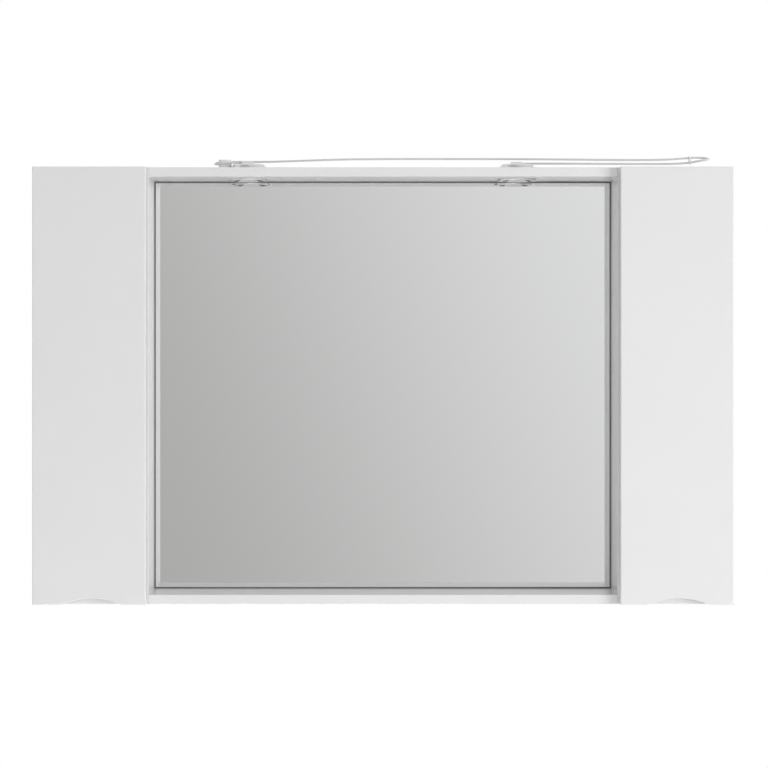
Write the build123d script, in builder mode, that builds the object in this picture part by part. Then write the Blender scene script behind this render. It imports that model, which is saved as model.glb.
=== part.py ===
from build123d import *
from math import atan, cos, pi, radians, sin, tan
import os

os.makedirs("parts", exist_ok=True)

# A mirror cabinet for a wall: two side cabinets with doors, and between them a niche with a
# mirror at its back and two small spots in its top panel.
# The origin is the middle of the back, on the wall. X runs to the right, Y towards the wall, Z up.
# All sizes are in millimetres.

# Overall sizes
overall_width = 1200.0
overall_height = 750.0
carcass_depth = 144.0
side_width = 197.0  # width of one side cabinet
board = 16.0  # thickness of the carcass boards
edge_round = 1.0  # rounding of the front edges of the boards

# Doors
door_board = 16.0
door_gap = 2.0  # between the back of a closed door and the carcass
door_reveal = 3.0  # strip of the inner side that a closed door leaves bare
door_round = 2.0  # rounding of the door's front edges
door_back_chamfer = 2.6  # at the hinge edge, so that the door clears the side as it turns
arch_width = 118.0  # finger cut-out in the lower edge
arch_height = 11.0
arch_shift = 4.5  # of both cut-outs to the right of the doors' middles
arch_foot_radius = 45.0  # hollow curve where the arch runs out into the edge
bumper_radius = 4.0
bumper_gap = 0.3
bumper_inset = 8.0  # from the door's free edge
bumper_end_inset = 30.0  # from the door's upper and lower ends

# Thin backs of the side cabinets, in grooves
back_board = 3.0
back_inset = 16.0  # from the wall to the back board
groove_depth = 5.0
groove_clearance = 0.2
back_play = 0.5  # left at the bottom of each groove

# Shelves and their pins
shelf_glass = 5.0
shelf_play = 0.5  # at each end of a shelf
shelf_front_inset = 12.0  # from the front of the carcass
shelves_per_cabinet = 2
pin_radius = 2.5
pin_depth = 9.0
pin_collar_radius = 3.5
pin_collar = 1.0
pin_ledge = 7.0
pin_clearance = 0.05
pin_end_inset = 25.0  # from the front and back edges of a shelf

# Hinges, each with one pin inside a cup in the door
hinge_end_inset = 110.0  # from the door's ends to the middle of a hinge
cup_radius = 17.5
cup_depth = 12.0
cup_wall = 1.2
cup_edge = 3.0  # wood left between the cup and the door's hinge edge
cup_clearance = 0.05
wing_length = 52.0
wing_width = 14.0
wing_thickness = 1.0
wing_screw_pitch = 45.0
wing_screw_radius = 1.75
hinge_pin_radius = 1.0
hinge_pin_inset = 7.2  # from the door's hinge edge
hinge_pin_forward = 9.2  # in front of the carcass
hinge_pin_length = 19.6
hinge_running_clearance = 0.05
arm_thickness = 2.0
arm_neck_width = 8.0
arm_base_width = 15.0
arm_base_length = 46.0
arm_base_back = 12.0  # from the front of the carcass to the front of the arm's wide base
arm_bend = 5.0
eye_radius = 2.2
plate_thickness = 3.5
plate_length = 38.0
plate_width = 40.0
plate_bar_width = 12.0
plate_screw_radius = 2.0
plate_screw_pitch = 32.0
arm_screw_radius = 2.6
arm_screw_height = 1.6

# Mirror and its backboard
mirror_glass = 4.0
mirror_tape = 1.0
backboard = 16.0
mirror_play = 0.5  # round the edge of the glass
tape_width = 20.0
tape_inset = 60.0
tape_count = 4

# Spots in the top panel of the niche
spot_x = 234.0
spot_y = -76.0
spot_cutout_radius = 29.0
spot_ring_radius = 35.0
spot_ring_drop = 3.0
spot_bezel_radius = 30.0
spot_window_radius = 20.0
spot_lens_radius = 22.0
spot_lens_thickness = 2.2
spot_lens_play = 0.3
spot_collar_radius = 28.2
spot_collar_height = 7.0
spot_can_wall = 1.2
spot_can_rise = 10.0  # of the can above the top panel
socket_length = 16.0
socket_width = 9.0
socket_height = 7.0
lamp_radius = 4.5
lamp_length = 11.0
lamp_pin_radius = 0.5
lamp_pin_length = 4.0
lamp_pin_pitch = 4.0
clip_thickness = 0.6
clip_width = 9.0
clip_reach = 14.0
clip_seat_gap = 0.3
terminal_length = 20.0
terminal_width = 12.0
terminal_height = 5.3
left_terminal_y = -86.0
right_terminal_y = -62.0

# Cabinet hangers and their wall plates
hanger_width = 42.0
hanger_height = 50.0
hanger_depth = 17.0
hanger_corner_gap = 2.0
hook_width = 16.0
hook_thickness = 2.0
wall_plate_width = 50.0
wall_plate_thickness = 2.0
wall_plate_leaf = 36.0
wall_plate_step = 4.6
wall_plate_lip = 12.0
wall_screw_pitch = 32.0
wall_screw_radius = 3.0
hook_clearance = 0.4
hook_drop = 2.0  # below the top of the housing
hook_slot_play = 2.0  # round the hook in the thin back
hanger_round = 4.0
dial_radius = 4.0  # of the two setting wells in the housing

# Lamp lead
lead_diameter = 3.6
lead_run_share = 0.45
tie_inset = 32.5  # from the end of the lead's loop
tie_wall = 0.8
tie_width = 2.6
tie_clearance = 0.9
tie_head = 2.4

# Places worked out from the sizes
half_width = overall_width / 2
half_height = overall_height / 2
inner_height = overall_height - 2 * board
niche_half_width = half_width - side_width
compartment_width = side_width - 2 * board
carcass_front = -carcass_depth
door_back = carcass_front - door_gap
door_front = door_back - door_board
door_width = side_width - door_reveal
back_front = -(back_inset + back_board)
mirror_back = -(backboard + mirror_tape)
canopy_underside = half_height - board
hinge_heights = [-(half_height - hinge_end_inset), half_height - hinge_end_inset]
shelf_step = inner_height / (shelves_per_cabinet + 1)
shelf_heights = [-inner_height / 2 + shelf_step * (i + 1) for i in range(shelves_per_cabinet)]
shelf_depth = carcass_depth - shelf_front_inset + back_front - shelf_play
shelf_middle_y = back_front - shelf_play - shelf_depth / 2
cup_inset = cup_edge + cup_radius

sides = {"left": -1, "right": 1}


def save(builder, name):
    """Name the finished piece and write it."""
    builder.part.label = name
    export_step(builder.part, "parts/" + name + ".step")


def facing_front(y):
    """A plane across the cabinet at y that looks to the front."""
    return Plane.XZ.offset(-y)


def at(side, inset, forward):
    """A point in plan, from a cabinet's outer face inwards and from the carcass front forwards."""
    return (side * (half_width - inset), carcass_front - forward)


def round_front(piece):
    """Round the edges of a board's front face."""
    front = piece.faces().sort_by(Axis.Y)[0]
    fillet(front.edges(), edge_round)


def upright(side, face_x, outwards):
    """A side board whose face to the compartment is at face_x, with its groove and pin holes."""
    with BuildPart() as piece:
        with BuildSketch(Plane.YZ.offset(face_x)):
            with Locations((-carcass_depth / 2, 0)):
                Rectangle(carcass_depth, overall_height)
        extrude(amount=outwards * board)
        round_front(piece)
        with BuildSketch(Plane.YZ.offset(face_x)):
            with Locations((back_front + back_board / 2, 0)):
                Rectangle(back_board + 2 * groove_clearance, inner_height + 2 * groove_depth)
        extrude(amount=outwards * groove_depth, mode=Mode.SUBTRACT)
        with BuildSketch(Plane.YZ.offset(face_x)):
            with Locations(*pin_spots()):
                Circle(pin_radius + pin_clearance)
        extrude(amount=outwards * (pin_depth + pin_clearance), mode=Mode.SUBTRACT)
    return piece


def pin_spots():
    """Where the shelf pins go into the side boards, as y and z."""
    reach = shelf_depth / 2 - pin_end_inset
    return [
        (shelf_middle_y + end * reach, z - shelf_glass / 2 - pin_radius)
        for z in shelf_heights
        for end in (-1, 1)
    ]


def level(side, face_z, upwards):
    """The top or bottom of a side cabinet, whose face to the compartment is at face_z."""
    middle_x = side * (niche_half_width + side_width / 2)
    with BuildPart() as piece:
        with BuildSketch(Plane.XY.offset(face_z)):
            with Locations((middle_x, -carcass_depth / 2)):
                Rectangle(compartment_width, carcass_depth)
        extrude(amount=upwards * board)
        round_front(piece)
        with BuildSketch(Plane.XY.offset(face_z)):
            with Locations((middle_x, back_front + back_board / 2)):
                Rectangle(compartment_width, back_board + 2 * groove_clearance)
        extrude(amount=upwards * groove_depth, mode=Mode.SUBTRACT)
    return piece


def cabinet_back(side):
    """The thin back in its grooves, with a slot for the hanger's hook."""
    middle_x = side * (niche_half_width + side_width / 2)
    play = 2 * (groove_depth - back_play)
    with BuildPart() as piece:
        with BuildSketch(facing_front(-back_inset)):
            with Locations((middle_x, 0)):
                Rectangle(compartment_width + play, inner_height + play)
            with Locations((hanger_middle_x(side), hook_top - hook_slot_drop)):
                Rectangle(hook_slot_width, hook_slot_height, mode=Mode.SUBTRACT)
        extrude(amount=back_board)
    return piece


def glass_shelf(side, z):
    """A glass shelf with rounded front corners."""
    middle_x = side * (niche_half_width + side_width / 2)
    with BuildPart() as piece:
        with BuildSketch(Plane.XY.offset(z - shelf_glass / 2)):
            with Locations((middle_x, shelf_middle_y)):
                Rectangle(compartment_width - 2 * shelf_play, shelf_depth)
        extrude(amount=shelf_glass)
        front = piece.faces().sort_by(Axis.Y)[0]
        fillet(front.edges().filter_by(Axis.Z), shelf_glass)
        chamfer(piece.faces().sort_by(Axis.Z)[-1].edges(), edge_round / 2)
    return piece


def shelf_pins(side):
    """All shelf pins of one cabinet: a dowel, a collar and a flat ledge under the glass."""
    faces = [(side * (niche_half_width + board), side), (side * (half_width - board), -side)]
    with BuildPart() as piece:
        for face_x, inwards in faces:
            plane = Plane.YZ.offset(face_x)
            with BuildSketch(plane):
                with Locations(*pin_spots()):
                    Circle(pin_radius)
            extrude(amount=-inwards * pin_depth)
            with BuildSketch(plane):
                with Locations(*pin_spots()):
                    Circle(pin_collar_radius)
                for y, z in pin_spots():
                    with Locations((y, z + pin_radius + pin_collar_radius / 2)):
                        Rectangle(2 * pin_collar_radius, pin_collar_radius, mode=Mode.SUBTRACT)
            extrude(amount=inwards * pin_collar)
            with BuildSketch(plane):
                with Locations(*pin_spots()):
                    Circle(pin_radius)
            extrude(amount=inwards * pin_ledge)
    return piece


def door(side):
    """A lacquered door with the arched finger cut-out in its lower edge and two cup bores."""
    free_x, hinge_x = side * (niche_half_width + door_reveal), side * half_width
    low_x, high_x = min(free_x, hinge_x), max(free_x, hinge_x)
    middle_x, half_arch = (low_x + high_x) / 2 + arch_shift, arch_width / 2
    slope = 2 * atan(arch_height / half_arch)
    foot_run = arch_foot_radius * sin(slope)
    foot_rise = arch_foot_radius * (1 - cos(slope))
    low_z, high_z = -half_height, half_height
    with BuildPart() as piece:
        with BuildSketch(facing_front(door_back)):
            with BuildLine():
                Line((low_x, low_z), (middle_x - half_arch, low_z))
                foot = (middle_x - half_arch + foot_run, low_z + foot_rise)
                other = (middle_x + half_arch - foot_run, low_z + foot_rise)
                TangentArc((middle_x - half_arch, low_z), foot, tangent=(1, 0))
                TangentArc(foot, other, tangent=(cos(slope), sin(slope)))
                TangentArc(other, (middle_x + half_arch, low_z), tangent=(cos(slope), -sin(slope)))
                Polyline(
                    (middle_x + half_arch, low_z),
                    (high_x, low_z),
                    (high_x, high_z),
                    (low_x, high_z),
                    (low_x, low_z),
                )
            make_face()
        extrude(amount=door_board)
        hinge_edge = piece.edges().filter_by(Axis.Z).sort_by(Axis.Y)[-2:].sort_by(Axis.X)
        chamfer(hinge_edge[-1 if side > 0 else 0], door_back_chamfer)
        fillet(piece.faces().sort_by(Axis.Y)[0].edges(), door_round)
        with BuildSketch(facing_front(door_back)):
            with Locations(*[(side * (half_width - cup_inset), z) for z in hinge_heights]):
                Circle(cup_radius + cup_clearance)
        extrude(amount=cup_depth + cup_clearance, mode=Mode.SUBTRACT)
    return piece


def hinge_cups(side):
    """The two cups of a door, each with its wings, and bores for the hinge pin in its wall."""
    middle_x = side * (half_width - cup_inset)
    pin_x, pin_y = at(side, hinge_pin_inset, hinge_pin_forward)
    with BuildPart() as piece:
        for z in hinge_heights:
            with BuildSketch(facing_front(door_back)):
                with Locations((middle_x, z)):
                    Circle(cup_radius)
            extrude(amount=cup_depth)
            with BuildSketch(facing_front(door_back + wing_thickness)):
                with Locations((middle_x, z)):
                    SlotOverall(wing_length + wing_width, wing_width, rotation=90)
                    with Locations((0, wing_screw_pitch / 2), (0, -wing_screw_pitch / 2)):
                        Circle(wing_screw_radius, mode=Mode.SUBTRACT)
            extrude(amount=wing_thickness)
            with BuildSketch(facing_front(door_back + wing_thickness)):
                with Locations((middle_x, z)):
                    Circle(cup_radius - cup_wall)
            extrude(amount=wing_thickness + cup_depth - cup_wall, mode=Mode.SUBTRACT)
            with BuildSketch(Plane.XY.offset(z - hinge_pin_length / 2)):
                with Locations((pin_x, pin_y)):
                    Circle(hinge_pin_radius + hinge_running_clearance / 2)
            extrude(amount=hinge_pin_length, mode=Mode.SUBTRACT)
    return piece


def hinge_pins(side):
    """The pins on which a door turns, held in the walls of its cups."""
    pin_x, pin_y = at(side, hinge_pin_inset, hinge_pin_forward)
    with BuildPart() as piece:
        for z in hinge_heights:
            with BuildSketch(Plane.XY.offset(z - hinge_pin_length / 2)):
                with Locations((pin_x, pin_y)):
                    Circle(hinge_pin_radius)
            extrude(amount=hinge_pin_length)
    return piece


def hinge_arms(side):
    """The cranked arms: a flat base on the plate, a neck into the cup and an eye on the pin."""
    pin = at(side, hinge_pin_inset, hinge_pin_forward)
    arm_inset = board + plate_thickness + arm_thickness / 2
    back = -(arm_base_back + arm_base_length)
    with BuildPart() as piece:
        for z in hinge_heights:
            with BuildSketch(Plane.XY.offset(z - arm_neck_width / 2)):
                with BuildLine() as neck:
                    FilletPolyline(
                        at(side, arm_inset, back + arm_thickness),
                        at(side, arm_inset, hinge_pin_forward),
                        pin,
                        radius=arm_bend,
                    )
                trace(neck.line, line_width=arm_thickness)
                with Locations(pin):
                    Circle(eye_radius)
            extrude(amount=arm_neck_width)
            base_x = side * (half_width - board - plate_thickness)
            with BuildSketch(Plane.YZ.offset(base_x)):
                with Locations((carcass_front + arm_base_back + arm_base_length / 2, z)):
                    RectangleRounded(arm_base_length, arm_base_width, arm_bend / 2)
            extrude(amount=-side * arm_thickness)
            with BuildSketch(Plane.YZ.offset(base_x - side * arm_thickness)):
                for reach in (0.3, 0.75):
                    with Locations((carcass_front + arm_base_back + reach * arm_base_length, z)):
                        Circle(arm_screw_radius)
            extrude(amount=-side * arm_screw_height)
            with BuildSketch(Plane.XY.offset(z - arm_neck_width / 2)):
                with Locations(pin):
                    Circle(hinge_pin_radius + hinge_running_clearance)
            extrude(amount=arm_neck_width, mode=Mode.SUBTRACT)
    return piece


def hinge_plates(side):
    """The cross-shaped mounting plates on the outer side, with their screw holes."""
    face_x = side * (half_width - board)
    middle_y = carcass_front + arm_base_back + arm_base_length / 2
    with BuildPart() as piece:
        for z in hinge_heights:
            with BuildSketch(Plane.YZ.offset(face_x)):
                with Locations((middle_y, z)):
                    RectangleRounded(plate_length, plate_bar_width, plate_bar_width / 3)
                    SlotOverall(plate_width + plate_bar_width, plate_bar_width, rotation=90)
                    with Locations((0, plate_screw_pitch / 2), (0, -plate_screw_pitch / 2)):
                        Circle(plate_screw_radius, mode=Mode.SUBTRACT)
            extrude(amount=-side * plate_thickness)
    return piece


def door_bumpers(side):
    """Soft discs on the back of a door, where it closes against the inner side."""
    middle_x = side * (niche_half_width + door_reveal + bumper_inset)
    reach = half_height - bumper_end_inset
    with BuildPart() as piece:
        with BuildSketch(facing_front(door_back)):
            with Locations((middle_x, reach), (middle_x, -reach)):
                Circle(bumper_radius)
        extrude(amount=-(door_gap - bumper_gap))
        fillet(piece.faces().filter_by(Axis.Y).group_by(Axis.Y)[-1].edges(), edge_round / 2)
    return piece


def niche_level(face_z, upwards, cutouts):
    """The panel over or under the niche, with the cut-outs for the spots if it has them."""
    with BuildPart() as piece:
        with BuildSketch(Plane.XY.offset(face_z)):
            with Locations((0, -carcass_depth / 2)):
                Rectangle(2 * niche_half_width, carcass_depth)
        extrude(amount=upwards * board)
        round_front(piece)
        if cutouts:
            with BuildSketch(Plane.XY.offset(face_z)):
                with Locations(*cutouts):
                    Circle(spot_cutout_radius)
            extrude(amount=upwards * board, mode=Mode.SUBTRACT)
    return piece


def niche_sheet(back_y, thickness, play):
    """An upright sheet that fills the back of the niche."""
    with BuildPart() as piece:
        with BuildSketch(facing_front(back_y)):
            Rectangle(2 * (niche_half_width - play), inner_height - 2 * play)
        extrude(amount=thickness)
    return piece


def tape_strips():
    """Upright strips of mounting tape between the backboard and the mirror."""
    pitch = 2 * (niche_half_width - tape_inset) / (tape_count - 1)
    with BuildPart() as piece:
        with BuildSketch(facing_front(-backboard)):
            with GridLocations(pitch, 1, tape_count, 1):
                Rectangle(tape_width, inner_height - 2 * tape_inset)
        extrude(amount=mirror_tape)
    return piece


def spot_plane(x):
    """An upright plane through a spot's axis, with its height measured from the underside."""
    return Plane(origin=(x, spot_y, canopy_underside), x_dir=(1, 0, 0), z_dir=(0, -1, 0))


def spot_axis(x):
    return Axis((x, spot_y, canopy_underside), (0, 0, 1))


def spot_ring(x):
    """The chromed ring: a rounded flange, a conical bezel, a seat for the glass and a collar."""
    lip = spot_ring_drop / 2
    collar_wall = 1.6
    seat_radius = spot_lens_radius + spot_lens_play
    lens_top = lip + spot_lens_thickness
    with BuildPart() as piece:
        with BuildSketch(spot_plane(x)):
            with BuildLine():
                rim = Line((spot_ring_radius, 0), (spot_ring_radius, -lip / 2))
                turn = RadiusArc(
                    rim @ 1, (spot_ring_radius - spot_ring_drop, -spot_ring_drop), spot_ring_drop
                )
                Polyline(
                    turn @ 1,
                    (spot_bezel_radius, -spot_ring_drop),
                    (spot_window_radius, 0),
                    (spot_window_radius, lip),
                    (seat_radius, lip),
                    (seat_radius, lens_top),
                    (spot_collar_radius - collar_wall, lens_top),
                    (spot_collar_radius - collar_wall, spot_collar_height),
                    (spot_collar_radius, spot_collar_height),
                    (spot_collar_radius, 0),
                    (spot_ring_radius, 0),
                )
            make_face()
        revolve(axis=spot_axis(x))
    return piece


def spot_lens(x):
    """The frosted glass that lies in the ring, slightly domed towards the room."""
    low = spot_ring_drop / 2
    dome = 0.9
    window = spot_window_radius - spot_lens_play
    with BuildPart() as piece:
        with BuildSketch(spot_plane(x)):
            with BuildLine():
                TangentArc((0, low - dome), (window, low), tangent=(1, 0))
                Polyline(
                    (window, low),
                    (spot_lens_radius, low),
                    (spot_lens_radius, low + spot_lens_thickness),
                    (0, low + spot_lens_thickness),
                    (0, low - dome),
                )
            make_face()
        revolve(axis=spot_axis(x))
    return piece


def spot_can(x):
    """The can over the lamp, a spun cup with a rounded shoulder."""
    top = board + spot_can_rise
    shoulder = 3.0
    wall = spot_can_wall
    outer = spot_collar_radius
    with BuildPart() as piece:
        with BuildSketch(spot_plane(x)):
            with BuildLine():
                FilletPolyline(
                    (0, top),
                    (outer, top),
                    (outer, spot_collar_height),
                    radius=shoulder,
                )
                Polyline(
                    (outer, spot_collar_height),
                    (outer - wall, spot_collar_height),
                    (outer - wall, top - shoulder),
                    (outer - shoulder, top - wall),
                    (0, top - wall),
                    (0, top),
                )
            make_face()
        revolve(axis=spot_axis(x))
        with BuildSketch(Plane.XY.offset(canopy_underside + top)):
            with Locations((x, spot_y)):
                with PolarLocations(spot_collar_radius * 0.7, 3, start_angle=30):
                    SlotOverall(4 * wall, 1.5 * wall)
        extrude(amount=-2 * wall, mode=Mode.SUBTRACT)
    return piece


def lamp_socket(x):
    """The ceramic socket under the top of the can."""
    top = canopy_underside + board + spot_can_rise - spot_can_wall
    with BuildPart() as piece:
        with BuildSketch(Plane.XY.offset(top - socket_height)):
            with Locations((x, spot_y)):
                RectangleRounded(socket_length, socket_width, socket_width / 4)
        extrude(amount=socket_height)
        with BuildSketch(Plane.XY.offset(top - socket_height)):
            with Locations((x - lamp_pin_pitch / 2, spot_y), (x + lamp_pin_pitch / 2, spot_y)):
                Circle(lamp_pin_radius + hinge_running_clearance)
        extrude(amount=lamp_pin_length, mode=Mode.SUBTRACT)
    return piece


def capsule_lamp(x):
    """The capsule lamp: a glass bulb with a pinched top and two pins in the socket."""
    socket_under = board + spot_can_rise - spot_can_wall - socket_height
    low = socket_under - lamp_length
    with BuildPart() as piece:
        with BuildSketch(spot_plane(x)):
            with BuildLine():
                Polyline(
                    (0, low),
                    (0, socket_under),
                    (lamp_radius * 0.6, socket_under),
                    (lamp_radius, low + lamp_length * 0.7),
                    (lamp_radius, low + lamp_radius),
                )
                TangentArc((lamp_radius, low + lamp_radius), (0, low), tangent=(0, -1))
            make_face()
        revolve(axis=spot_axis(x))
        with BuildSketch(Plane.XY.offset(canopy_underside + socket_under)):
            with Locations((x - lamp_pin_pitch / 2, spot_y), (x + lamp_pin_pitch / 2, spot_y)):
                Circle(lamp_pin_radius)
        extrude(amount=lamp_pin_length - hinge_running_clearance)
    return piece


def spot_clips(x):
    """The two leaf springs that hold the spot down on the top panel."""
    start = spot_collar_radius + clip_seat_gap
    seat = board + clip_seat_gap + clip_thickness / 2
    with BuildPart() as piece:
        for way in (-1, 1):
            front = Plane(
                origin=(x, spot_y - clip_width / 2, canopy_underside),
                x_dir=(1, 0, 0),
                z_dir=(0, -1, 0),
            )
            with BuildSketch(front):
                with BuildLine() as leaf:
                    FilletPolyline(
                        (way * (start + clip_thickness / 2), board + 0.3 * spot_can_rise),
                        (way * (start + clip_thickness / 2), board + 0.6 * spot_can_rise),
                        (way * (start + clip_reach - 3), seat),
                        (way * (start + clip_reach), seat),
                        radius=1.0,
                    )
                trace(leaf.line, line_width=clip_thickness)
            extrude(amount=-clip_width)
    return piece


def terminal(x, y):
    """The terminal block on the can, with two screw wells and a wire hole at each end."""
    low = half_height + spot_can_rise
    with BuildPart() as piece:
        with BuildSketch(Plane.XY.offset(low)):
            with Locations((x, y)):
                Rectangle(terminal_length, terminal_width)
        extrude(amount=terminal_height)
        chamfer(piece.faces().sort_by(Axis.Z)[-1].edges(), 0.6)
        with BuildSketch(Plane.XY.offset(low + terminal_height)):
            with Locations((x, y)):
                with GridLocations(1, terminal_width / 2, 1, 2):
                    Circle(terminal_width / 8)
        extrude(amount=-terminal_height / 2, mode=Mode.SUBTRACT)
    return piece


def hanger_middle_x(side):
    return side * (half_width - board - hanger_corner_gap - wall_plate_width / 2)


# Heights of the hanger, from the face of the cabinet's top downwards
hanger_top = half_height - board - hanger_corner_gap
hook_top = hanger_top - hook_drop
lip_top = hook_top - hook_thickness - hook_clearance
leaf_top = lip_top - wall_plate_lip
hook_slot_width = hook_width + 2 * hook_slot_play
hook_slot_height = hook_thickness + 3 * hook_slot_play
hook_slot_drop = hook_thickness / 2 + hook_slot_play


def hanger(side):
    """The hanger's housing in the upper outer corner, held off the top and the outer side."""
    middle_x = hanger_middle_x(side)
    with BuildPart() as piece:
        with BuildSketch(facing_front(back_front)):
            with Locations((middle_x, hanger_top - hanger_height / 2)):
                RectangleRounded(hanger_width, hanger_height, hanger_round)
        extrude(amount=hanger_depth)
        fillet(piece.faces().sort_by(Axis.Y)[0].edges(), hanger_round / 2)
        with BuildSketch(facing_front(back_front - hanger_depth)):
            with Locations((middle_x, hanger_top - hanger_height * 0.35)):
                Circle(dial_radius)
            with Locations((middle_x, hanger_top - hanger_height * 0.72)):
                Circle(dial_radius)
        extrude(amount=-hanger_depth * 0.6, mode=Mode.SUBTRACT)
    return piece


def hanger_hook(side):
    """The steel hook that leaves the housing through the back and grips the wall plate."""
    middle_x = hanger_middle_x(side)
    half = hook_thickness / 2
    tongue_y = -wall_plate_step / 2
    plane = Plane(origin=(middle_x - hook_width / 2, 0, 0), x_dir=(0, 1, 0), z_dir=(1, 0, 0))
    with BuildPart() as piece:
        with BuildSketch(plane):
            with BuildLine() as strip:
                FilletPolyline(
                    (back_front, hook_top - half),
                    (tongue_y, hook_top - half),
                    (tongue_y, hook_top - 0.8 * wall_plate_lip),
                    radius=half + 0.2,
                )
            trace(strip.line, line_width=hook_thickness)
        extrude(amount=hook_width)
    return piece


def wall_plate(side):
    """The stepped steel plate on the wall, with two screw holes and a raised lip."""
    middle_x = hanger_middle_x(side)
    half = wall_plate_thickness / 2
    start = middle_x - wall_plate_width / 2
    plane = Plane(origin=(start, 0, 0), x_dir=(0, 1, 0), z_dir=(1, 0, 0))
    lip_y = -(wall_plate_step + half)
    with BuildPart() as piece:
        with BuildSketch(plane):
            with BuildLine() as strip:
                Polyline(
                    (-half, leaf_top - wall_plate_leaf),
                    (-half, leaf_top - wall_plate_step),
                    (lip_y, leaf_top),
                    (lip_y, lip_top),
                )
            trace(strip.line, line_width=wall_plate_thickness)
        extrude(amount=wall_plate_width)
        with BuildSketch(facing_front(0)):
            with Locations((middle_x, wall_screw_z)):
                with GridLocations(wall_screw_pitch, 1, 2, 1):
                    Circle(wall_screw_radius)
        extrude(amount=2 * wall_plate_thickness, mode=Mode.SUBTRACT)
    return piece


wall_screw_z = leaf_top - wall_plate_step - wall_plate_leaf / 2


def corner_radii(points):
    """For each inner point of a route, an arc as large as its two runs allow."""
    vectors = [Vector(*b) - Vector(*a) for a, b in zip(points, points[1:])]
    radii = []
    for before, after in zip(vectors, vectors[1:]):
        half_turn = radians(before.get_angle(after)) / 2
        shorter = min(before.length, after.length)
        radii.append(lead_run_share * shorter / tan(half_turn))
    return radii


def lead_route():
    """The lead's points, chosen by hand, as x, y and the height above the cabinet's top."""
    rise = spot_can_rise + terminal_height / 2
    half_block = terminal_length / 2
    return [
        (-spot_x - half_block, left_terminal_y, rise),
        (-258, left_terminal_y, rise),
        (-279, -84, 11.5),
        (-291, -76, 10.0),
        (-294, -63.5, 12.5),
        (-284, -54.5, 16.2),
        (-257, -53, 16.6),
        (-206, -56, 16.0),
        (-150, -63, 17.2),
        (-88, -67, 19.2),
        (-27, -66, 20.2),
        (36, -63, 20.7),
        (98, -60, 20.9),
        (160, -59, 20.9),
        (206, -61, 20.8),
        (262, -63, 20.4),
        (322, -66, 19.6),
        (382, -67, 18.9),
        (438, -64, 18.9),
        (478, -61, 19.2),
        (507, -61, 20.4),
        (530, -59, 22.4),
        (548, -53.5, 23.7),
        (563, -55.5, 23.0),
        (571, -67, 20.6),
        (564, -79, 18.0),
        (549, -76.5, 15.8),
        (535, -67.5, 13.6),
        (513, -63.5, 12.1),
        (478, -66, 11.7),
        (426, -71, 11.4),
        (368, -73, 11.5),
        (312, -67, 12.2),
        (272, right_terminal_y, rise),
        (spot_x + half_block, right_terminal_y, rise),
    ]


def lead_path():
    """The middle line of the lead: straight runs joined by tangent arcs."""
    points = [(x, y, half_height + z) for x, y, z in lead_route()]
    radii = corner_radii(points)
    with BuildLine() as path:
        FilletPolyline(*points, radius=radii)
    print("least radius in diameters", round(min(radii) / lead_diameter, 2))
    print("radii", [round(r) for r in radii])
    return path.wires()[0]


def lamp_lead(path):
    """The lead between the two spots."""
    with BuildPart() as piece:
        with BuildSketch(Plane(origin=path @ 0, z_dir=path % 0)):
            Circle(lead_diameter / 2)
        sweep(path=path)
    section = pi * (lead_diameter / 2) ** 2
    print("lead length", round(path.length, 1))
    print("volume over section times length", round(piece.part.volume / (section * path.length), 5))
    return piece


def lead_tie(path):
    """The tie round both strands of the lead's loop: a flat band and its head."""
    cut = Plane.YZ.offset(path.bounding_box().max.X - tie_inset)
    strands = [Vector(hit) for edge in path.edges() for hit in edge.intersect(cut) or []]
    upper, lower = strands[0], strands[-1]
    across = upper - lower
    middle = (upper + lower) * 0.5
    plane = Plane(origin=middle - Vector(tie_width / 2, 0, 0), x_dir=across, z_dir=(1, 0, 0))
    inner = lead_diameter + 2 * tie_clearance
    with BuildPart() as piece:
        with BuildSketch(plane):
            SlotCenterToCenter(across.length, inner + 2 * tie_wall)
            SlotCenterToCenter(across.length, inner, mode=Mode.SUBTRACT)
            with Locations((0, -(inner + tie_wall + tie_head) / 2)):
                Rectangle(2 * tie_head, tie_wall + tie_head)
        extrude(amount=tie_width)
    return piece


for name, side in sides.items():
    compartment_inner = side * (niche_half_width + board)
    compartment_outer = side * (half_width - board)
    save(upright(side, compartment_inner, -side), "inner_side_" + name)
    save(upright(side, compartment_outer, side), "outer_side_" + name)
    save(level(side, canopy_underside, 1), "top_board_" + name)
    save(level(side, -canopy_underside, -1), "bottom_board_" + name)
    save(cabinet_back(side), "back_board_" + name)
    for z, place in zip(shelf_heights, ("lower", "upper")):
        save(glass_shelf(side, z), place + "_shelf_" + name)
    save(shelf_pins(side), "shelf_pins_" + name)
    save(door(side), "door_" + name)
    save(hinge_cups(side), "hinge_cups_" + name)
    save(hinge_pins(side), "hinge_pins_" + name)
    save(hinge_arms(side), "hinge_arms_" + name)
    save(hinge_plates(side), "hinge_plates_" + name)
    save(door_bumpers(side), "door_bumpers_" + name)
    save(hanger(side), "hanger_" + name)
    save(hanger_hook(side), "hanger_hook_" + name)
    save(wall_plate(side), "wall_plate_" + name)
    x = side * spot_x
    save(spot_ring(x), "spot_ring_" + name)
    save(spot_lens(x), "spot_lens_" + name)
    save(spot_can(x), "spot_can_" + name)
    save(lamp_socket(x), "lamp_socket_" + name)
    save(capsule_lamp(x), "capsule_lamp_" + name)
    save(spot_clips(x), "spot_clips_" + name)

save(terminal(-spot_x, left_terminal_y), "terminal_left")
save(terminal(spot_x, right_terminal_y), "terminal_right")
save(niche_level(canopy_underside, 1, [(-spot_x, spot_y), (spot_x, spot_y)]), "niche_top")
save(niche_level(-canopy_underside, -1, []), "niche_bottom")
save(niche_sheet(0, backboard, 0), "mirror_backboard")
save(tape_strips(), "mirror_tape")
save(niche_sheet(mirror_back, mirror_glass, mirror_play), "mirror_glass")
route = lead_path()
save(lamp_lead(route), "lamp_lead")
save(lead_tie(route), "lead_tie")
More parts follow.
